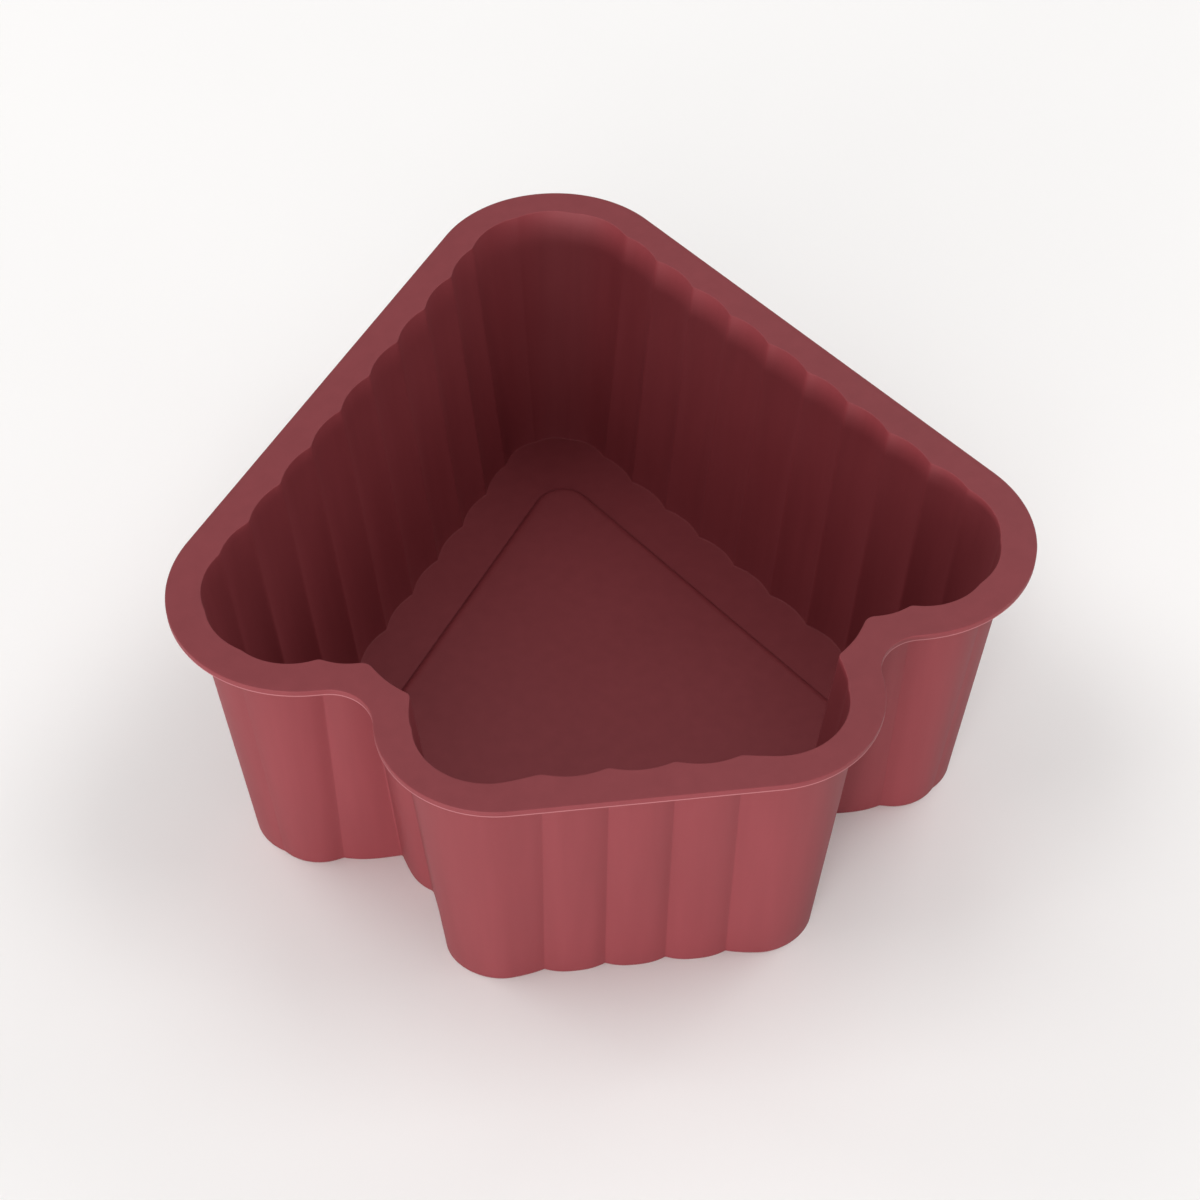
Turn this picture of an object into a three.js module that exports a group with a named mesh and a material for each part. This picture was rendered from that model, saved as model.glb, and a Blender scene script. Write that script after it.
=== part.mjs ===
// House-shaped fluted silicone mould for casting resin, wax or soap.
//
// Millimetres, +Z up. The origin lies on the face the mould stands on, under the middle of the rim.
// +Y points to the peak of the house, and the mould is symmetric about the plane X = 0.
// The real mould is one moulding. Here its lip, its lengths of wall and its floor are separate solids
// that meet face to face on shared vertices, so they touch without overlapping.

import * as THREE from 'three';

// ---------- Driving dimensions ----------

const RIM_WIDTH = 120;          // over the eaves
const RIM_LENGTH = 125.7;       // from the front edge to the peak
const HEIGHT = 46;

const ROOF_ANGLE = THREE.MathUtils.degToRad(32.65);   // between a roof slope and the Y axis
const PEAK_RADIUS = 18.8;       // rim's outer edge, as are the next three radii
const EAVE_RADIUS = 19.3;
const NECK_RADIUS = 6.1;        // hollow corner where an eave meets the house's side
const CORNER_RADIUS = 16.2;
const BODY_HALF_WIDTH = 33.45;

const LIP_THICKNESS = 1;
const LIP_WIDTH = 4.8;          // from the rim's outer edge to the deepest point of a flute
const WALL_AT_TOP = 1.5;        // wall thickness under the lip
const OUTER_DRAFT = 0.085;      // millimetres inwards for each millimetre down
const INNER_DRAFT = 0.095;

const FLUTE_PITCH = 8.57;       // on the roof and the front
const ROOF_RIDGES = 8;
const FIRST_ROOF_RIDGE = 9.1;   // along the roof line, from its upper end
const RIDGE_DEPTH = 0.85;       // how far a full ridge stands into the cavity
const SLIGHT_DEEPEN = 0.03;     // added ridge depth for each millimetre of draft
const FLUTE_STEPS = 8;          // straight pieces in one flute
const CORNER_STEPS = 20;

const FLOOR_THICKNESS = 1.2;    // under the roof band
const PANEL_RISE = 1.2;         // the gable panel stands this far above the roof band
const PANEL_BEVEL = 1.1;
const BAND_WIDTH = 13.5;        // from the rim's inner edge to the panel, seen from above
const PANEL_PEAK_RADIUS = 5;
const PANEL_PEAK_STEPS = 8;

const COLOUR = 0x8d4046;
const ROUGHNESS = 0.5;

// ---------- Path of the flute troughs at the rim, right half, from peak to front ----------

const UP = Math.PI / 2;

function arc(cx, cy, radius, from, to) {
  const inside = to > from ? -1 : 1;       // -1 on the hollow neck, where the centre is outside
  return {
    length: radius * Math.abs(to - from),
    at(t) {
      const angle = from + (to - from) * t;
      const n = [Math.cos(angle), Math.sin(angle)];
      return { p: [cx + inside * radius * n[0], cy + inside * radius * n[1]], n };
    },
  };
}

function line(from, to) {
  const length = Math.hypot(to[0] - from[0], to[1] - from[1]);
  const n = [(from[1] - to[1]) / length, (to[0] - from[0]) / length];
  return {
    length,
    at: (t) => ({ p: [from[0] + (to[0] - from[0]) * t, from[1] + (to[1] - from[1]) * t], n }),
  };
}

function joined(before, after) {
  return line(before.at(1).p, after.at(0).p);
}

function roofNormal() {
  return [Math.cos(ROOF_ANGLE), Math.sin(ROOF_ANGLE)];
}

function makePath() {
  const [nx, ny] = roofNormal();
  const peakY = RIM_LENGTH / 2 - PEAK_RADIUS;
  const eaveX = RIM_WIDTH / 2 - EAVE_RADIUS;
  const eaveY = peakY + (PEAK_RADIUS - EAVE_RADIUS - nx * eaveX) / ny;
  const neckX = BODY_HALF_WIDTH + NECK_RADIUS;
  const neckY = eaveY - EAVE_RADIUS - NECK_RADIUS;
  const cornerX = BODY_HALF_WIDTH - CORNER_RADIUS;
  const cornerY = CORNER_RADIUS - RIM_LENGTH / 2;
  const peak = arc(0, peakY, PEAK_RADIUS - LIP_WIDTH, UP, ROOF_ANGLE);
  const eave = arc(eaveX, eaveY, EAVE_RADIUS - LIP_WIDTH, ROOF_ANGLE, -UP);
  const neck = arc(neckX, neckY, NECK_RADIUS + LIP_WIDTH, -UP, 0);
  const corner = arc(cornerX, cornerY, CORNER_RADIUS - LIP_WIDTH, 0, -UP);
  const front = line(corner.at(1).p, [0, corner.at(1).p[1]]);
  return {
    peak, roof: joined(peak, eave), eave, soffit: joined(eave, neck), neck,
    side: joined(neck, corner), corner, front,
  };
}

const PATH = makePath();
const STRETCHES = Object.values(PATH);
const PATH_LENGTH = STRETCHES.reduce((sum, stretch) => sum + stretch.length, 0);

function startOf(name) {
  const before = STRETCHES.slice(0, STRETCHES.indexOf(PATH[name]));
  return before.reduce((sum, stretch) => sum + stretch.length, 0);
}

function pathAt(s) {
  let left = s;
  for (const stretch of STRETCHES) {
    if (left <= stretch.length || stretch === PATH.front) {
      return stretch.at(Math.min(left / stretch.length, 1));
    }
    left -= stretch.length;
  }
}

// ---------- Ridges between the flutes ----------
// s is a ridge's distance along the path, depth is how far it stands into the cavity, and deepen
// is how much more it stands in for each millimetre that draft moves the wall inwards.

function makeRidges() {
  const ridges = [];
  const add = (s, depth, deepen = SLIGHT_DEEPEN) => ridges.push({ s, depth, deepen });
  add(4.6, 0.3);
  add(startOf('roof') + 1.5, 0.5);
  for (let i = 0; i < ROOF_RIDGES; i += 1) {
    add(startOf('roof') + FIRST_ROOF_RIDGE + i * FLUTE_PITCH, RIDGE_DEPTH);
  }
  add(startOf('eave'), 0.5);
  add(startOf('eave') + 11.2, 0.25);
  add(startOf('eave') + 20.7, 0.3);
  add(startOf('soffit') + 0.9, RIDGE_DEPTH);
  add(startOf('neck') + 5.75, 1.15, 0.5);
  add(startOf('neck') + 13.4, 1);
  add(startOf('corner') + 0.9, 0.1);
  add(PATH_LENGTH - 1.5 * FLUTE_PITCH, RIDGE_DEPTH);
  add(PATH_LENGTH - 0.5 * FLUTE_PITCH, RIDGE_DEPTH);
  return ridges;
}

const RIDGES = makeRidges();
const PEAK_RIDGE = 1;           // the wall is split at these ridges
const EAVE_RIDGE = 10;
const SOFFIT_RIDGE = 13;
const SIDE_RIDGE = 16;
const FRONT_RIDGE = 17;
const NECK_RIDGE = 14;          // a flute bears the number of the ridge before it

// Outside the hollow neck the two valleys lie closer together than the ridges inside it.
function outerRidges() {
  const ridges = RIDGES.map((ridge) => ({ ...ridge }));
  ridges[NECK_RIDGE] = { s: RIDGES[NECK_RIDGE].s + 0.16, depth: 1.93, deepen: 0.28 };
  ridges[NECK_RIDGE + 1] = { s: RIDGES[NECK_RIDGE + 1].s - 1.65, depth: 0.45, deepen: SLIGHT_DEEPEN };
  return ridges;
}

// A face of the wall: its ridges, carried on past the peak and the front, and the extra bulge of
// some of its flutes.
function face(ridges, fuller) {
  const first = ridges[0];
  const last = ridges[ridges.length - 1];
  const mirrored = [{ ...first, s: -first.s }, ...ridges, { ...last, s: 2 * PATH_LENGTH - last.s }];
  return { ridges: mirrored, fuller };
}

const INNER_FACE = face(RIDGES, { [NECK_RIDGE]: 0.15, [SIDE_RIDGE]: 0.4 });
const OUTER_FACE = face(outerRidges(), {
  [NECK_RIDGE - 1]: -0.3, [NECK_RIDGE]: 0.26, [NECK_RIDGE + 1]: 0.36, [SIDE_RIDGE]: 0.4,
});

// How far a face stands in from the path at s, once draft has moved it by inset.
function fluteDepth({ ridges, fuller }, s, inset) {
  let flute = ridges.length - 2;
  while (flute > 0 && s < ridges[flute].s) flute -= 1;
  const a = ridges[flute];
  const b = ridges[flute + 1];
  const t = (s - a.s) / (b.s - a.s);
  const depthA = a.depth + a.deepen * inset;
  const depthB = b.depth + b.deepen * inset;
  const bulge = (a.depth + b.depth) / 2 + (fuller[flute - 1] ?? 0);
  return depthA * (1 - t) + depthB * t - bulge * 4 * t * (1 - t);
}

// ---------- Columns: the places along the wall that carry vertices ----------

const SAME = 1e-3;              // places closer than this are one place

// The point at height z that lies move outwards from the path.
function pointAt(column, move, z) {
  const { p, n } = pathAt(column.s);
  return [column.side * (p[0] + n[0] * move), p[1] + n[1] * move, z];
}

function innerPoint(column, z) {
  const inset = INNER_DRAFT * (HEIGHT - z);
  return pointAt(column, -inset - fluteDepth(INNER_FACE, column.s, inset), z);
}

function outerPoint(column, z) {
  const inset = OUTER_DRAFT * (HEIGHT - z) - WALL_AT_TOP;
  return pointAt(column, -inset - fluteDepth(OUTER_FACE, column.s, inset), z);
}

function rimPoint(column, z) {
  return pointAt(column, LIP_WIDTH, z);
}

function panelDistance(point) {
  const [nx, ny] = roofNormal();
  return nx * point[0] + ny * point[1];
}

function roofDistance() {
  return panelDistance(PATH.roof.at(0).p);
}

const HALVINGS = 40;

// Where the panel's edge meets the eave wall on the floor.
function panelCrossing() {
  let low = startOf('eave');
  let high = startOf('soffit');
  for (let i = 0; i < HALVINGS; i += 1) {
    const middle = (low + high) / 2;
    const point = innerPoint({ s: middle, side: 1 }, FLOOR_THICKNESS);
    if (panelDistance(point) > roofDistance() - BAND_WIDTH) low = middle;
    else high = middle;
  }
  return low;
}

const CROSSING = panelCrossing();

function halfPositions() {
  const positions = [0, CROSSING, ...OUTER_FACE.ridges.map((ridge) => ridge.s)];
  for (let flute = 0; flute < INNER_FACE.ridges.length - 1; flute += 1) {
    const a = INNER_FACE.ridges[flute].s;
    const b = INNER_FACE.ridges[flute + 1].s;
    const steps = flute - 1 === SIDE_RIDGE ? CORNER_STEPS : FLUTE_STEPS;
    for (let i = 0; i <= steps; i += 1) positions.push(a + ((b - a) * i) / steps);
  }
  const kept = positions.filter((s) => s > -SAME && s < PATH_LENGTH + SAME).sort((a, b) => a - b);
  return kept.filter((s, i) => i === 0 || s - kept[i - 1] > SAME);
}

// Columns run clockwise seen from above: peak, right side, front, left side, back to the peak.
function makeColumns() {
  const right = halfPositions().map((s) => ({ s, side: 1 }));
  const left = right.slice(1, -1).reverse().map((column) => ({ s: column.s, side: -1 }));
  return [...right, ...left];
}

const COLUMNS = makeColumns();

function columnAt(s, side) {
  return COLUMNS.findIndex((column) => column.side === side && Math.abs(column.s - s) < SAME);
}

function columnsBetween(first, last) {
  const picked = [COLUMNS[first]];
  for (let i = first; i !== last;) {
    i = (i + 1) % COLUMNS.length;
    picked.push(COLUMNS[i]);
  }
  return picked;
}

// ---------- Mesh building ----------

class Builder {
  constructor() {
    this.positions = [];
  }

  triangle(a, b, c) {
    this.positions.push(...a, ...b, ...c);
  }

  // A strip between two rows of points; both rows run the same way.
  strip(rowA, rowB, closed) {
    const count = closed ? rowA.length : rowA.length - 1;
    for (let i = 0; i < count; i += 1) {
      const j = (i + 1) % rowA.length;
      this.triangle(rowA[i], rowB[j], rowA[j]);
      this.triangle(rowA[i], rowB[i], rowB[j]);
    }
  }

  // The edge of a plate, split into the same triangles as the piece it touches.
  plateSide(low, high) {
    for (let i = 0; i < low.length - 1; i += 1) {
      this.triangle(high[i], high[i + 1], low[i + 1]);
      this.triangle(high[i], low[i + 1], low[i]);
    }
  }

  // The same triangles seen from the other side: the face of a plate that touches plateSide's.
  plateSocket(low, high) {
    for (let i = 0; i < low.length - 1; i += 1) {
      this.triangle(high[i], low[i + 1], high[i + 1]);
      this.triangle(high[i], low[i], low[i + 1]);
    }
  }

  // A flat face at one height, seen from above when facingUp is true.
  cap(row, facingUp) {
    const contour = row.map((point) => new THREE.Vector2(point[0], point[1]));
    for (const [a, b, c] of THREE.ShapeUtils.triangulateShape(contour, [])) {
      const counter = signedArea(row[a], row[b], row[c]) > 0;
      if (counter === facingUp) this.triangle(row[a], row[b], row[c]);
      else this.triangle(row[a], row[c], row[b]);
    }
  }

  mesh(name) {
    const geometry = new THREE.BufferGeometry();
    geometry.setAttribute('position', new THREE.Float32BufferAttribute(this.positions, 3));
    geometry.computeVertexNormals();
    const material = new THREE.MeshStandardMaterial({
      color: COLOUR, roughness: ROUGHNESS, metalness: 0,
    });
    const mesh = new THREE.Mesh(geometry, material);
    mesh.name = name;
    return mesh;
  }
}

function signedArea(a, b, c) {
  return (b[0] - a[0]) * (c[1] - a[1]) - (c[0] - a[0]) * (b[1] - a[1]);
}

// ---------- Pieces ----------

const LIP_UNDERSIDE = HEIGHT - LIP_THICKNESS;
const PANEL_TOP = FLOOR_THICKNESS + PANEL_RISE;

function lip() {
  const builder = new Builder();
  const row = (place, z) => COLUMNS.map((column) => place(column, z));
  const innerTop = row(innerPoint, HEIGHT);
  const rimTop = row(rimPoint, HEIGHT);
  const rimUnder = row(rimPoint, LIP_UNDERSIDE);
  const innerUnder = row(innerPoint, LIP_UNDERSIDE);
  builder.strip(rimTop, innerTop, true);
  builder.strip(rimUnder, rimTop, true);
  builder.strip(innerUnder, rimUnder, true);
  builder.strip(innerTop, innerUnder, true);
  return builder.mesh('rim_lip');
}

// One length of the wall, from the standing face up to the lip, between two columns.
function wall(name, first, last) {
  const builder = new Builder();
  const columns = columnsBetween(first, last);
  const section = [
    columns.map((column) => outerPoint(column, LIP_UNDERSIDE)),
    columns.map((column) => innerPoint(column, LIP_UNDERSIDE)),
    columns.map((column) => innerPoint(column, PANEL_TOP)),
    columns.map((column) => innerPoint(column, FLOOR_THICKNESS)),
    columns.map((column) => innerPoint(column, 0)),
    columns.map((column) => outerPoint(column, 0)),
  ];
  section.forEach((row, i) => builder.strip(row, section[(i + 1) % section.length], false));
  const end = columns.length - 1;
  for (let i = 1; i < section.length - 1; i += 1) {
    builder.triangle(section[0][0], section[i + 1][0], section[i][0]);
    builder.triangle(section[0][end], section[i][end], section[i + 1][end]);
  }
  return builder.mesh(name);
}

// The panel's edge from the left eave over its peak to the right eave, moved in by bevel.
function panelEdge(z, bevel) {
  const [nx, ny] = roofNormal();
  const radius = PANEL_PEAK_RADIUS;
  const distance = roofDistance() - BAND_WIDTH - bevel;
  const centreY = (distance - radius) / ny;
  const peak = [];
  for (let i = 0; i <= PANEL_PEAK_STEPS; i += 1) {
    const angle = Math.PI - ROOF_ANGLE - ((Math.PI - 2 * ROOF_ANGLE) * i) / PANEL_PEAK_STEPS;
    peak.push([radius * Math.cos(angle), centreY + radius * Math.sin(angle), z]);
  }
  const right = innerPoint({ s: CROSSING, side: 1 }, z);
  const left = innerPoint({ s: CROSSING, side: -1 }, z);
  return [left, ...peak, right];
}

function floorBand() {
  const builder = new Builder();
  const around = columnsBetween(columnAt(CROSSING, -1), columnAt(CROSSING, 1));
  const wallRow = (z) => around.map((column) => innerPoint(column, z));
  const outline = (z) => [...wallRow(z), ...panelEdge(z, 0).slice(1, -1).reverse()];
  builder.cap(outline(FLOOR_THICKNESS), true);
  builder.cap(outline(0), false);
  builder.plateSide(wallRow(0), wallRow(FLOOR_THICKNESS));
  builder.plateSocket(panelEdge(0, 0), panelEdge(FLOOR_THICKNESS, 0));
  return builder.mesh('floor_roof_band');
}

function floorPanel() {
  const builder = new Builder();
  const around = columnsBetween(columnAt(CROSSING, 1), columnAt(CROSSING, -1));
  const wallRow = (z) => around.map((column) => innerPoint(column, z));
  const outline = (z, bevel) => [...wallRow(z), ...panelEdge(z, bevel).slice(1, -1)];
  builder.cap(outline(PANEL_TOP, PANEL_BEVEL), true);
  builder.cap(outline(0, 0), false);
  builder.plateSide(wallRow(0), wallRow(FLOOR_THICKNESS));
  builder.plateSide(wallRow(FLOOR_THICKNESS), wallRow(PANEL_TOP));
  builder.plateSide(panelEdge(0, 0), panelEdge(FLOOR_THICKNESS, 0));
  builder.plateSide(panelEdge(FLOOR_THICKNESS, 0), panelEdge(PANEL_TOP, PANEL_BEVEL));
  return builder.mesh('floor_gable_panel');
}

// ---------- The mould ----------

function sideWalls(name, side) {
  const at = (ridge) => columnAt(RIDGES[ridge].s, side);
  const lengths = [
    [`roof_wall_${name}`, PEAK_RIDGE, EAVE_RIDGE],
    [`eave_wall_${name}`, EAVE_RIDGE, SOFFIT_RIDGE],
    [`neck_wall_${name}`, SOFFIT_RIDGE, SIDE_RIDGE],
    [`corner_wall_${name}`, SIDE_RIDGE, FRONT_RIDGE],
  ];
  return lengths.map(([label, a, b]) => {
    const [first, last] = side > 0 ? [a, b] : [b, a];
    return wall(label, at(first), at(last));
  });
}

function mould() {
  const group = new THREE.Group();
  const peakLeft = columnAt(RIDGES[PEAK_RIDGE].s, -1);
  const peakRight = columnAt(RIDGES[PEAK_RIDGE].s, 1);
  const frontRight = columnAt(RIDGES[FRONT_RIDGE].s, 1);
  const frontLeft = columnAt(RIDGES[FRONT_RIDGE].s, -1);
  group.add(lip());
  group.add(wall('peak_wall', peakLeft, peakRight));
  group.add(wall('front_wall', frontRight, frontLeft));
  group.add(...sideWalls('right', 1));
  group.add(...sideWalls('left', -1));
  group.add(floorBand());
  group.add(floorPanel());
  return group;
}

export default mould();
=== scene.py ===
import math
from collections import namedtuple

import bmesh
import bpy
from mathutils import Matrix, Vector, geometry


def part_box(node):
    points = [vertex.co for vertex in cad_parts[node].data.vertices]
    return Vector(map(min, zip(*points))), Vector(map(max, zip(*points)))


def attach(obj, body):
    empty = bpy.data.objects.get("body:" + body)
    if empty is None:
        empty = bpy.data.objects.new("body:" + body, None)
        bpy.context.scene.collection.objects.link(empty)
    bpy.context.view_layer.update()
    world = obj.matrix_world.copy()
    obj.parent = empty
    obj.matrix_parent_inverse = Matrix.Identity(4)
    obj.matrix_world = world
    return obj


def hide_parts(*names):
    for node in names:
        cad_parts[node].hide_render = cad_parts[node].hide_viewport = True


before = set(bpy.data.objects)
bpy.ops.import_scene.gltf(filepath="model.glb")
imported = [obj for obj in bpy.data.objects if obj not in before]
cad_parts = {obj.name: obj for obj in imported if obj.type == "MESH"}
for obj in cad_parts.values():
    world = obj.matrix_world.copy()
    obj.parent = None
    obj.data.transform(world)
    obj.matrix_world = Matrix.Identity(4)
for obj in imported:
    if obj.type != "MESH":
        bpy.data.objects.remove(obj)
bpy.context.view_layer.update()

# Looks of the house-shaped silicone casting mould: one continuous fluted skin around the packed
# frame, its silicone with a painted highlight in paler colour along the lip's lower edge, a pale
# floor, soft lights and the camera. Metres, in the frame's own axes.

# ---------- Driving dimensions ----------

MM = 0.001
lip_low, lip_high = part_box("rim_lip")
RIM_WIDTH, RIM_LENGTH = (lip_high - lip_low).xy
HEIGHT = lip_high.z
LIP_UNDERSIDE = lip_low.z
FLOOR_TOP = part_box("floor_roof_band")[1].z
PANEL_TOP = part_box("floor_gable_panel")[1].z

ROOF_ANGLE = math.radians(32.65)     # between a roof slope and the Y axis
PEAK_RADIUS = 18.8 * MM              # rim's outer edge, as are the next three radii
EAVE_RADIUS = 19.3 * MM
NECK_RADIUS = 6.1 * MM
CORNER_RADIUS = 16.2 * MM
BODY_HALF_WIDTH = 33.45 * MM

LIP_WIDTH = 4.8 * MM                 # rim's outer edge to the deepest point of a flute
WALL_AT_TOP = 1.5 * MM
OUTER_DRAFT = 0.085
INNER_DRAFT = 0.095

FLUTE_PITCH = 8.57 * MM
RIDGE_DEPTH = 0.85 * MM
ROOF_RIDGES = 8                      # evenly spaced ridges of one roof slope
FIRST_ROOF_RIDGE = 9.1 * MM          # from the start of the slope
SLIGHT_DEEPENING = 0.03
PARABOLA = 2                         # power of an ordinary flute's section

BAND_WIDTH = 13.5 * MM               # rim's inner edge to the gable panel, seen from above
PANEL_BEVEL = 1.9 * MM
PANEL_BEVEL_POWER = 3                # steepest at the band, easing on to the panel
PANEL_PEAK_RADIUS = 5 * MM

LIP_EDGE = 0.12 * MM                 # radius of a rounding, as are the next five
LIP_LOWER_EDGE = 0.05 * MM
LIP_INNER_EDGE = 0.12 * MM
LIP_ROOT = 0.6 * MM
FOOT = 0.12 * MM
BOTTOM_EDGE = 0.2 * MM
GUARD = 0.15 * MM                    # flat strip that keeps a rounding's shade off the flat beyond
COLUMN_GAP = 0.01 * MM               # columns closer together than this are merged
VALLEY_ROUNDING = 0.15 * MM          # half width of the rounding in an outer valley
RIDGE_ROUNDING_RIM = 0.45 * MM       # half width of an inner ridge's rounding
RIDGE_ROUNDING_FLOOR = 0.2 * MM

FLUTE_STEPS = 22
CORNER_STEPS = 44
VALLEY_STEPS = 3                     # over half of an outer valley's rounding
ROUND_STEPS = 5
WALL_STEPS = 14
LIP_TOP_STEPS = 4
LIP_FACE_STEPS = 5
HIGHLIGHT_FACE_STEPS = 1                  # steps of the lip's face that share the painted highlight of its lower edge
PANEL_PEAK_STEPS = 16
STEP_LINES = 8                       # lines along the panel's rounded edge
FOOT_ROUNDS = 3                      # rounds that settle the height of the wall's foot
HALVINGS = 40
SHARP_ANGLE = math.radians(50)
INSIDE_ONLY = 1                      # the triangulation keeps what lies inside its outline
WELD_DISTANCE = 1e-9

# ---------- Colours: darkest and lightest ----------

MAROON = (0.18, 0.023, 0.029), (0.205, 0.029, 0.036)
# painted highlight: paler silicone colour along the lip's lower edge, in place of a bright line of light
EDGE_HIGHLIGHT_PAINT = (0.31, 0.1, 0.11), (0.34, 0.115, 0.125)
PALE_FLOOR = (0.88, 0.865, 0.855), (0.9, 0.885, 0.875)
NOISE_LOW, NOISE_HIGH = 0.3, 0.7     # most of a noise lies between these

# ---------- Studio ----------

BOX_DISTANCE = 1.6                   # metres, as are the next two
STRIP_DISTANCE = 7                   # far off, so that the strips leave no streak on the floor in view
FLOOR_RADIUS = 14
FLOOR_SEGMENTS = 96
STRIP = (2.6, 0.35)                  # width and height of a lamp, as are the next two
WIDE = (0.8, 0.3)
BOX = (0.8, 0.8)
DOME_STRENGTH = 0.38

CAMERA_PLACE = (-29.59 * MM, -253.39 * MM, 283.5 * MM)
CAMERA_AIM = (-1.7 * MM, -27.98 * MM, HEIGHT)
SENSOR_WIDTH = 36                    # millimetres, as is the next
LENS = 73.06


# ---------- Path of the flute troughs at the rim, right half, from peak to front ----------

def arc(centre, radius, start, end):
    inside = -1 if end > start else 1        # -1 on the hollow neck, whose centre is outside

    def at(t):
        angle = start + (end - start) * t
        normal = Vector((math.cos(angle), math.sin(angle)))
        return Vector(centre) + inside * radius * normal, normal

    return radius * abs(end - start), at


def line(start, end):
    along = end - start
    normal = Vector((-along.y, along.x)).normalized()
    return along.length, lambda t: (start + along * t, normal)


def joined(before, after):
    return line(before[1](1)[0], after[1](0)[0])


def make_path():
    up = math.pi / 2
    peak_y = RIM_LENGTH / 2 - PEAK_RADIUS
    eave_x = RIM_WIDTH / 2 - EAVE_RADIUS
    eave_y = peak_y + (PEAK_RADIUS - EAVE_RADIUS - math.cos(ROOF_ANGLE) * eave_x) / math.sin(ROOF_ANGLE)
    neck_centre = (BODY_HALF_WIDTH + NECK_RADIUS, eave_y - EAVE_RADIUS - NECK_RADIUS)
    corner_centre = (BODY_HALF_WIDTH - CORNER_RADIUS, CORNER_RADIUS - RIM_LENGTH / 2)
    peak = arc((0, peak_y), PEAK_RADIUS - LIP_WIDTH, up, ROOF_ANGLE)
    eave = arc((eave_x, eave_y), EAVE_RADIUS - LIP_WIDTH, ROOF_ANGLE, -up)
    neck = arc(neck_centre, NECK_RADIUS + LIP_WIDTH, -up, 0)
    corner = arc(corner_centre, CORNER_RADIUS - LIP_WIDTH, 0, -up)
    front_start = corner[1](1)[0]
    return {
        "peak": peak, "roof": joined(peak, eave), "eave": eave, "soffit": joined(eave, neck),
        "neck": neck, "side": joined(neck, corner), "corner": corner,
        "front": line(front_start, Vector((0, front_start.y))),
    }


PATH = make_path()
PATH_LENGTH = sum(length for length, _ in PATH.values())


def start_of(name):
    names = list(PATH)
    return sum(PATH[before][0] for before in names[:names.index(name)])


def path_at(s):
    for length, at in PATH.values():
        if s <= length:
            return at(s / length)
        s -= length
    return at(1)


# ---------- Ridges between the flutes ----------
# Each ridge is its place along the path, its depth into the cavity, its extra depth for each metre
# of draft, and the scale of its rounding.

Ridge = namedtuple("Ridge", "place depth deepening rounding", defaults=(SLIGHT_DEEPENING, 1))


def make_ridges():
    roof, eave, neck = start_of("roof"), start_of("eave"), start_of("neck")
    ridges = [Ridge(4.6 * MM, 0.3 * MM), Ridge(roof + 1.5 * MM, 0.5 * MM)]
    for i in range(ROOF_RIDGES):
        ridges.append(Ridge(roof + FIRST_ROOF_RIDGE + i * FLUTE_PITCH, RIDGE_DEPTH))
    ridges += [
        Ridge(eave, 0.5 * MM),
        Ridge(eave + 11.2 * MM, 0.25 * MM),
        Ridge(eave + 20.7 * MM, 0.3 * MM),
        Ridge(start_of("soffit") + 0.9 * MM, RIDGE_DEPTH),
        Ridge(neck + 5.75 * MM, 1.15 * MM, deepening=0.5, rounding=2),
        Ridge(neck + 13.4 * MM, 1 * MM),
        Ridge(start_of("corner") + 0.9 * MM, 0.1 * MM),
        Ridge(PATH_LENGTH - 1.5 * FLUTE_PITCH, RIDGE_DEPTH),
        Ridge(PATH_LENGTH - 0.5 * FLUTE_PITCH, RIDGE_DEPTH),
    ]
    return ridges


RIDGES = make_ridges()
NECK_RIDGE, CORNER_RIDGE = 14, 16        # a flute bears the number of the ridge before it


def outer_ridges():
    """Outside the hollow neck the two valleys lie closer together than the ridges inside it."""
    ridges = list(RIDGES)
    first, second = RIDGES[NECK_RIDGE], RIDGES[NECK_RIDGE + 1]
    ridges[NECK_RIDGE] = Ridge(first.place + 0.16 * MM, 1.93 * MM, deepening=0.28)
    ridges[NECK_RIDGE + 1] = Ridge(second.place - 1.65 * MM, 0.45 * MM, rounding=2)
    return ridges


# A face of the wall is its ridges, carried on past the peak and the front, the extra bulge, in
# millimetres, of some of its flutes, and the power of any flute that isn't a parabola.

Face = namedtuple("Face", "ridges fuller squarer")


def make_face(ridges, fuller, squarer):
    first, last = ridges[0], ridges[-1]
    past_peak = first._replace(place=-first.place)
    past_front = last._replace(place=2 * PATH_LENGTH - last.place)
    return Face([past_peak, *ridges, past_front], fuller, squarer)


INNER_FACE = make_face(RIDGES, fuller={NECK_RIDGE: 0.15, CORNER_RIDGE: 0.4}, squarer={})
OUTER_FACE = make_face(
    outer_ridges(),
    fuller={NECK_RIDGE - 1: -0.3, NECK_RIDGE: 0.26, NECK_RIDGE + 1: 0.36, CORNER_RIDGE: 0.35},
    squarer={CORNER_RIDGE: 4, CORNER_RIDGE + 1: 2.5, CORNER_RIDGE + 2: 2.5},
)


def sharp_depth(face, start, s, inset):
    """Depth and slope at s of the flute that begins at the face's ridge of that index."""
    a, b = face.ridges[start], face.ridges[start + 1]
    flute = start - 1                    # the ridge past the peak comes first in a face
    length = b.place - a.place
    t = (s - a.place) / length
    depth_a, depth_b = a.depth + a.deepening * inset, b.depth + b.deepening * inset
    bulge = (a.depth + b.depth) / 2 + face.fuller.get(flute, 0) * MM
    power, across = face.squarer.get(flute, PARABOLA), 2 * t - 1
    depth = depth_a * (1 - t) + depth_b * t - bulge * (1 - abs(across) ** power)
    steepness = math.copysign(2 * power * abs(across) ** (power - 1), across)
    return depth, (depth_b - depth_a + bulge * steepness) / length


def hermite(start, end, width, t):
    """Smooth curve between two (value, slope) ends."""
    (v0, m0), (v1, m1) = start, end
    t2, t3 = t * t, t * t * t
    return (
        v0 * (2 * t3 - 3 * t2 + 1) + m0 * width * (t3 - 2 * t2 + t)
        + v1 * (3 * t2 - 2 * t3) + m1 * width * (t3 - t2)
    )


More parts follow.
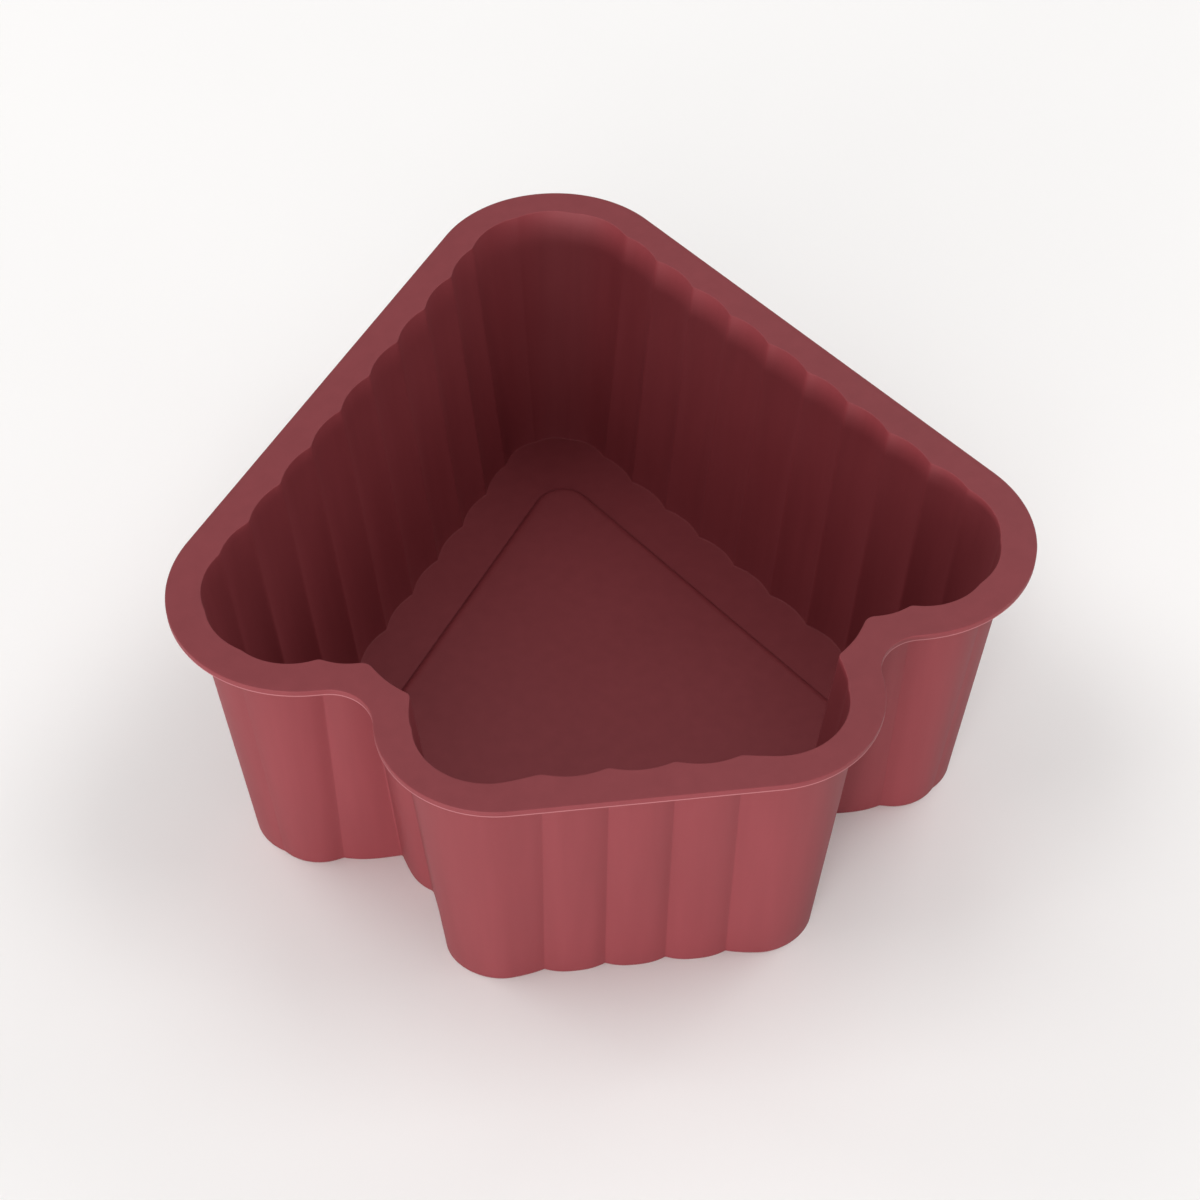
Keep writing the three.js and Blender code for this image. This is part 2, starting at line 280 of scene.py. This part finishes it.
def flute_depth(face, s, inset, rounding):
    """How far a face stands in from the path at s, with its ridges rounded."""
    for i, ridge in enumerate(face.ridges[1:-1], start=1):
        half = rounding * ridge.rounding
        if abs(s - ridge.place) < half:
            before = sharp_depth(face, i - 1, ridge.place - half, inset)
            after = sharp_depth(face, i, ridge.place + half, inset)
            return hermite(before, after, 2 * half, (s - ridge.place + half) / (2 * half))
    start = max(i for i, ridge in enumerate(face.ridges[:-1]) if i == 0 or s >= ridge.place)
    return sharp_depth(face, start, s, inset)[0]


# ---------- Columns: the places along the wall that carry vertices ----------

def point(column, move, z):
    """The point at height z that lies move outwards from the path."""
    s, side = column
    place, normal = path_at(s)
    spot = place + normal * move
    return Vector((side * spot.x, spot.y, z))


def inner_move(s, z):
    inset = INNER_DRAFT * (HEIGHT - z)
    low = (HEIGHT - z) / HEIGHT
    rounding = RIDGE_ROUNDING_RIM + (RIDGE_ROUNDING_FLOOR - RIDGE_ROUNDING_RIM) * low
    return -inset - flute_depth(INNER_FACE, s, inset, rounding)


def outer_move(s, z):
    inset = OUTER_DRAFT * (HEIGHT - z) - WALL_AT_TOP
    return -inset - flute_depth(OUTER_FACE, s, inset, VALLEY_ROUNDING)


ROOF_NORMAL_X, ROOF_NORMAL_Y = math.cos(ROOF_ANGLE), math.sin(ROOF_ANGLE)
roof_start = PATH["roof"][1](0)[0]
PANEL_EDGE = ROOF_NORMAL_X * roof_start.x + ROOF_NORMAL_Y * roof_start.y - BAND_WIDTH
PANEL_PEAK_Y = (PANEL_EDGE - PANEL_PEAK_RADIUS) / ROOF_NORMAL_Y     # centre of the panel's round peak


def panel_distance(spot):
    """Distance from the gable panel's lower edge, positive on the panel."""
    offset = Vector((abs(spot.x), spot.y)) - Vector((0, PANEL_PEAK_Y))
    if offset.y > abs(offset.x) * ROOF_NORMAL_Y / ROOF_NORMAL_X:
        return PANEL_PEAK_RADIUS - offset.length
    return PANEL_EDGE - ROOF_NORMAL_X * abs(spot.x) - ROOF_NORMAL_Y * spot.y


def floor_height(spot):
    u = min(max(panel_distance(spot) / PANEL_BEVEL, 0), 1)
    return FLOOR_TOP + (PANEL_TOP - FLOOR_TOP) * (1 - (1 - u) ** PANEL_BEVEL_POWER)


def floor_ring_point(column):
    """The edge of the floor, just inside the rounding at the wall's foot."""
    z = FLOOR_TOP
    for _ in range(FOOT_ROUNDS):
        spot = point(column, inner_move(column[0], z) - FOOT - GUARD, z)
        z = floor_height(spot)
    spot.z = z
    return spot


def step_distances():
    """Distances of the lines that carry the panel's rounded edge, with a flat strip on both sides."""
    lines = [PANEL_BEVEL * (1 - math.cos(math.pi / 2 * i / STEP_LINES)) for i in range(STEP_LINES + 1)]
    return [-GUARD, *lines, PANEL_BEVEL + GUARD]


def crossing(distance):
    """Where a line along the panel's edge meets the wall."""
    low, high = start_of("eave"), start_of("neck")
    for _ in range(HALVINGS):
        middle = (low + high) / 2
        if panel_distance(floor_ring_point((middle, 1))) < distance:
            low = middle
        else:
            high = middle
    return low


CROSSINGS = [crossing(distance) for distance in step_distances()]


def half_positions():
    """Distances along the path, dense near each ridge and near the neck's own two outer valleys."""
    ridges = INNER_FACE.ridges
    positions = [0, PATH_LENGTH, *CROSSINGS]
    reach = 2 * VALLEY_STEPS
    for valley in OUTER_FACE.ridges[NECK_RIDGE + 1:NECK_RIDGE + 3]:
        for i in range(-reach, reach + 1):
            positions.append(valley.place + i * VALLEY_ROUNDING / VALLEY_STEPS)
    for flute, (a, b) in enumerate(zip(ridges, ridges[1:]), start=-1):
        steps = CORNER_STEPS if flute == CORNER_RIDGE else FLUTE_STEPS
        for i in range(steps + 1):
            share = 1 - math.cos(math.pi * i / steps)
            positions.append(a.place + (b.place - a.place) * share / 2)
    kept = []
    for s in sorted(p for p in positions if 0 <= p <= PATH_LENGTH):
        crowded = kept and s - kept[-1] < COLUMN_GAP
        if crowded and s in CROSSINGS:
            kept[-1] = s
        elif not crowded:
            kept.append(s)
    return kept


def make_columns():
    """Columns run clockwise seen from above: peak, right side, front, left side."""
    positions = half_positions()
    return [(s, 1) for s in positions] + [(s, -1) for s in reversed(positions[1:-1])]


COLUMNS = make_columns()


# ---------- Section of the wall: rows of vertices from the floor over the lip to the underside ----------

def quarter():
    return [math.pi / 2 * i / ROUND_STEPS for i in range(ROUND_STEPS + 1)]


def even(start, end, steps):
    return [start + (end - start) * i / steps for i in range(1, steps)]


def inner_section(column):
    s = column[0]
    foot = floor_ring_point(column).z
    rows = []
    for a in quarter():
        z = foot + FOOT * (1 - math.cos(a))
        rows.append((inner_move(s, z) - FOOT * (1 - math.sin(a)), z))
    rows += [(inner_move(s, z), z) for z in even(foot + FOOT, HEIGHT - LIP_INNER_EDGE, WALL_STEPS)]
    for a in quarter():
        z = HEIGHT - LIP_INNER_EDGE * (1 - math.sin(a))
        rows.append((inner_move(s, z) + LIP_INNER_EDGE * (1 - math.cos(a)), z))
    return rows


def lip_section(column):
    s = column[0]
    inside = inner_move(s, HEIGHT) + LIP_INNER_EDGE + GUARD
    outside = LIP_WIDTH - LIP_EDGE
    rows = [(inside, HEIGHT)]
    rows += [(move, HEIGHT) for move in even(inside, outside - GUARD, LIP_TOP_STEPS)]
    rows.append((outside - GUARD, HEIGHT))
    rows += [(outside + LIP_EDGE * math.sin(a), HEIGHT - LIP_EDGE * (1 - math.cos(a))) for a in quarter()]
    top, bottom = HEIGHT - LIP_EDGE, LIP_UNDERSIDE + LIP_LOWER_EDGE
    for t in even(0, 1, LIP_FACE_STEPS):
        rows.append((LIP_WIDTH, top + (bottom - top) * t))
    for a in quarter():
        inward, up = LIP_LOWER_EDGE * (1 - math.cos(a)), LIP_LOWER_EDGE * (1 - math.sin(a))
        rows.append((LIP_WIDTH - inward, LIP_UNDERSIDE + up))
    return rows


def outer_section(column):
    s = column[0]
    root = outer_move(s, LIP_UNDERSIDE) + LIP_ROOT
    rows = [(LIP_WIDTH - LIP_LOWER_EDGE - GUARD, LIP_UNDERSIDE), (root + GUARD, LIP_UNDERSIDE)]
    for a in quarter():
        z = LIP_UNDERSIDE - LIP_ROOT * (1 - math.cos(a))
        rows.append((outer_move(s, z) + LIP_ROOT * (1 - math.sin(a)), z))
    rows += [(outer_move(s, z), z) for z in even(LIP_UNDERSIDE - LIP_ROOT, BOTTOM_EDGE, WALL_STEPS)]
    for a in quarter():
        z = BOTTOM_EDGE * (1 - math.sin(a))
        rows.append((outer_move(s, z) - BOTTOM_EDGE * (1 - math.cos(a)), z))
    rows.append((outer_move(s, 0) - BOTTOM_EDGE - GUARD, 0))
    return rows


def section(column):
    rows = inner_section(column) + lip_section(column) + outer_section(column)
    return [floor_ring_point(column)] + [point(column, move, z) for move, z in rows]


# ---------- Skin ----------

def fill(mesh, ring, lines, height, facing_up):
    """Fills a closed ring of vertices, with lines of points between two of them kept as edges."""
    verts = list(ring)
    flat = [v.co.xy for v in ring]
    edges = []
    for first, points, last in lines:
        chain = [first]
        for spot in points:
            verts.append(mesh.verts.new((spot.x, spot.y, height(spot))))
            flat.append(Vector((spot.x, spot.y)))
            chain.append(len(verts) - 1)
        chain.append(last)
        edges += list(zip(chain, chain[1:]))
    outline = list(range(len(ring)))[::-1]
    _, _, triangles, origin, _, _ = geometry.delaunay_2d_cdt(
        flat, edges, [outline], INSIDE_ONLY, WELD_DISTANCE
    )
    for triangle in triangles:
        a, b, c = (origin[i][0] for i in triangle)
        if facing_up:
            mesh.faces.new((verts[a], verts[b], verts[c]))
        else:
            mesh.faces.new((verts[c], verts[b], verts[a]))


def step_line(distance):
    """Points over the gable's peak along one line of the panel's edge."""
    radius = PANEL_PEAK_RADIUS - distance
    points = []
    for i in range(PANEL_PEAK_STEPS + 1):
        angle = ROOF_ANGLE + (math.pi - 2 * ROOF_ANGLE) * i / PANEL_PEAK_STEPS
        points.append(Vector((radius * math.cos(angle), PANEL_PEAK_Y + radius * math.sin(angle))))
    return points


def painted_highlight_rows():
    """The rows of faces at the lip's lower edge that carry a painted highlight in paler silicone."""
    end = len(inner_section(COLUMNS[0])) + len(lip_section(COLUMNS[0]))
    return range(end - ROUND_STEPS - HIGHLIGHT_FACE_STEPS, end)


def make_skin():
    mesh = bmesh.new()
    columns = [[mesh.verts.new(co) for co in section(column)] for column in COLUMNS]
    highlight_rows = painted_highlight_rows()
    for right, left in zip(columns, columns[1:] + columns[:1]):
        for i in range(len(right) - 1):
            quad = mesh.faces.new((right[i], left[i], left[i + 1], right[i + 1]))
            # Faces in these rows get the paler silicone, a painted highlight along the lip's lower edge.
            quad.material_index = int(i in highlight_rows)
    lines = []
    for distance, s in zip(step_distances(), CROSSINGS):
        first, last = COLUMNS.index((s, 1)), COLUMNS.index((s, -1))
        lines.append((first, step_line(distance), last))
    fill(mesh, [column[0] for column in columns], lines, floor_height, True)
    fill(mesh, [column[-1] for column in columns], [], lambda spot: 0, False)
    bmesh.ops.recalc_face_normals(mesh, faces=mesh.faces)
    for face in mesh.faces:
        face.smooth = True
    return mesh


def add_object(name, bm, *materials):
    data = bpy.data.meshes.new(name)
    bm.to_mesh(data)
    bm.free()
    for material in materials:
        data.materials.append(material)
    thing = bpy.data.objects.new(name, data)
    bpy.context.scene.collection.objects.link(thing)
    return thing


# ---------- Materials ----------

class Nodes:
    """Short calls that add nodes to a material and link them."""

    def __init__(self, name):
        self.material = bpy.data.materials.new(name)
        self.material.use_nodes = True
        self.tree = self.material.node_tree
        self.shader = self.tree.nodes["Principled BSDF"]

    def add(self, kind, links=(), **values):
        node = self.tree.nodes.new(kind)
        for name, value in values.items():
            if name in node.inputs:
                node.inputs[name].default_value = value
            else:
                setattr(node, name, value)
        for socket, source in links:
            self.tree.links.new(source, node.inputs[socket])
        return node

    def place(self, stretch=(1, 1, 1)):
        coords = self.add("ShaderNodeTexCoord").outputs["Object"]
        return self.add("ShaderNodeMapping", [("Vector", coords)], Scale=stretch).outputs[0]

    def noise(self, scale, detail=2, stretch=(1, 1, 1)):
        where = self.place(stretch)
        return self.add("ShaderNodeTexNoise", [("Vector", where)], Scale=scale, Detail=detail).outputs[0]

    def spread(self, value, low, high):
        """Maps the middle of a noise to low to high."""
        node = self.add("ShaderNodeMapRange", [("Value", value)])
        ends = {"From Min": NOISE_LOW, "From Max": NOISE_HIGH, "To Min": low, "To Max": high}
        for name, number in ends.items():
            node.inputs[name].default_value = number
        return node.outputs[0]

    def bump(self, height, distance, strength, normal=None):
        links = [("Height", height)] + ([("Normal", normal)] if normal else [])
        return self.add("ShaderNodeBump", links, Distance=distance, Strength=strength).outputs[0]

    def drive(self, socket, source):
        self.tree.links.new(source, self.shader.inputs[socket])

    def fix(self, **values):
        for name, value in values.items():
            self.shader.inputs[name.replace("_", " ")].default_value = value


def colour_mix(nodes, share, dark, light):
    ramp = nodes.add("ShaderNodeValToRGB", [("Fac", share)])
    ramp.color_ramp.elements[0].color = (*dark, 1)
    ramp.color_ramp.elements[1].color = (*light, 1)
    return ramp.outputs[0]


def silicone(name, dark, light):
    nodes = Nodes(name)
    clouds = nodes.noise(scale=35, detail=4)
    streaks = nodes.noise(scale=420, stretch=(1, 1, 0.03))
    grain = nodes.noise(scale=2600)
    total = nodes.add("ShaderNodeMath", [(0, clouds), (1, streaks)], operation="ADD").outputs[0]
    mean = nodes.add("ShaderNodeMath", [(0, total)], operation="MULTIPLY")
    mean.inputs[1].default_value = 0.5
    tone = nodes.spread(mean.outputs[0], low=0, high=1)
    nodes.drive("Base Color", colour_mix(nodes, tone, dark, light))
    nodes.drive("Roughness", nodes.spread(clouds, low=0.58, high=0.66))
    waves = nodes.bump(streaks, distance=0.05 * MM, strength=0.25)
    nodes.drive("Normal", nodes.bump(grain, distance=0.02 * MM, strength=0.5, normal=waves))
    nodes.fix(IOR=1.45)
    return nodes.material


def pale_floor():
    nodes = Nodes("pale_floor")
    tone = nodes.spread(nodes.noise(scale=6, detail=3), low=0, high=1)
    nodes.drive("Base Color", colour_mix(nodes, tone, *PALE_FLOOR))
    nodes.fix(Roughness=0.85)
    return nodes.material


# ---------- Stage ----------

def make_floor():
    mesh = bmesh.new()
    bmesh.ops.create_circle(mesh, cap_ends=True, segments=FLOOR_SEGMENTS, radius=FLOOR_RADIUS)
    floor = add_object("studio_floor", mesh, pale_floor())


def soft_light(name, azimuth, elevation, size, power, distance=BOX_DISTANCE):
    """A soft box aimed at the mould. Azimuth 0 is the camera's side, and 90 the mould's right."""
    turn, rise = math.radians(azimuth), math.radians(elevation)
    away = Vector((math.sin(turn) * math.cos(rise), -math.cos(turn) * math.cos(rise), math.sin(rise)))
    light = bpy.data.lights.new(name, "AREA")
    light.shape = "RECTANGLE"
    light.size, light.size_y = size
    light.energy = power
    lamp = bpy.data.objects.new(name, light)
    lamp.location = Vector((0, 0, HEIGHT / 2)) + away * distance
    lamp.rotation_euler = (-away).to_track_quat("-Z", "Y").to_euler()
    lamp.visible_camera = False
    bpy.context.scene.collection.objects.link(lamp)


def light_studio():
    """A plain dome, low strips and wide lamps for the outer wall, and boxes higher up for the rim."""
    world = bpy.data.worlds.new("studio")
    world.use_nodes = True
    background = world.node_tree.nodes["Background"]
    background.inputs["Color"].default_value = (1, 1, 1, 1)
    background.inputs["Strength"].default_value = DOME_STRENGTH
    bpy.context.scene.world = world
    soft_light("front_strip", azimuth=0, elevation=2, size=STRIP, power=85, distance=STRIP_DISTANCE)
    soft_light("left_strip", azimuth=-35, elevation=2, size=STRIP, power=290, distance=STRIP_DISTANCE)
    soft_light("front_wide", azimuth=-20, elevation=14, size=WIDE, power=2.8)
    soft_light("right_wide", azimuth=60, elevation=16, size=WIDE, power=1.7)
    soft_light("front_box", azimuth=-15, elevation=32, size=BOX, power=4.4)
    for side, turn in (("left", -1), ("right", 1)):
        soft_light(f"{side}_box", azimuth=90 * turn, elevation=60, size=BOX, power=6)
        soft_light(f"back_{side}_box", azimuth=135 * turn, elevation=32, size=BOX, power=4.8)


def make_camera():
    """Looks 46 degrees down and 7 degrees to the right of +Y, as in the photograph."""
    camera = bpy.data.cameras.new("camera")
    camera.sensor_width = SENSOR_WIDTH
    camera.lens = LENS
    holder = bpy.data.objects.new("camera", camera)
    holder.location = CAMERA_PLACE
    holder.rotation_euler = (Vector(CAMERA_AIM) - holder.location).to_track_quat("-Z", "Y").to_euler()
    bpy.context.scene.collection.objects.link(holder)
    bpy.context.scene.camera = holder


# ---------- The scene ----------

make_camera()
make_floor()
light_studio()
bpy.context.scene.view_settings.view_transform = "Standard"

maroon = silicone("maroon_silicone", *MAROON)
# Paler silicone painted on the lip's lower edge as a highlight.
painted_edge_highlight = silicone("painted_highlight_silicone", *EDGE_HIGHLIGHT_PAINT)
skin = add_object("silicone_skin", make_skin(), maroon, painted_edge_highlight)
skin.data.set_sharp_from_angle(angle=SHARP_ANGLE)
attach(skin, "root")
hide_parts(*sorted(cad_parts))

bpy.context.view_layer.update()
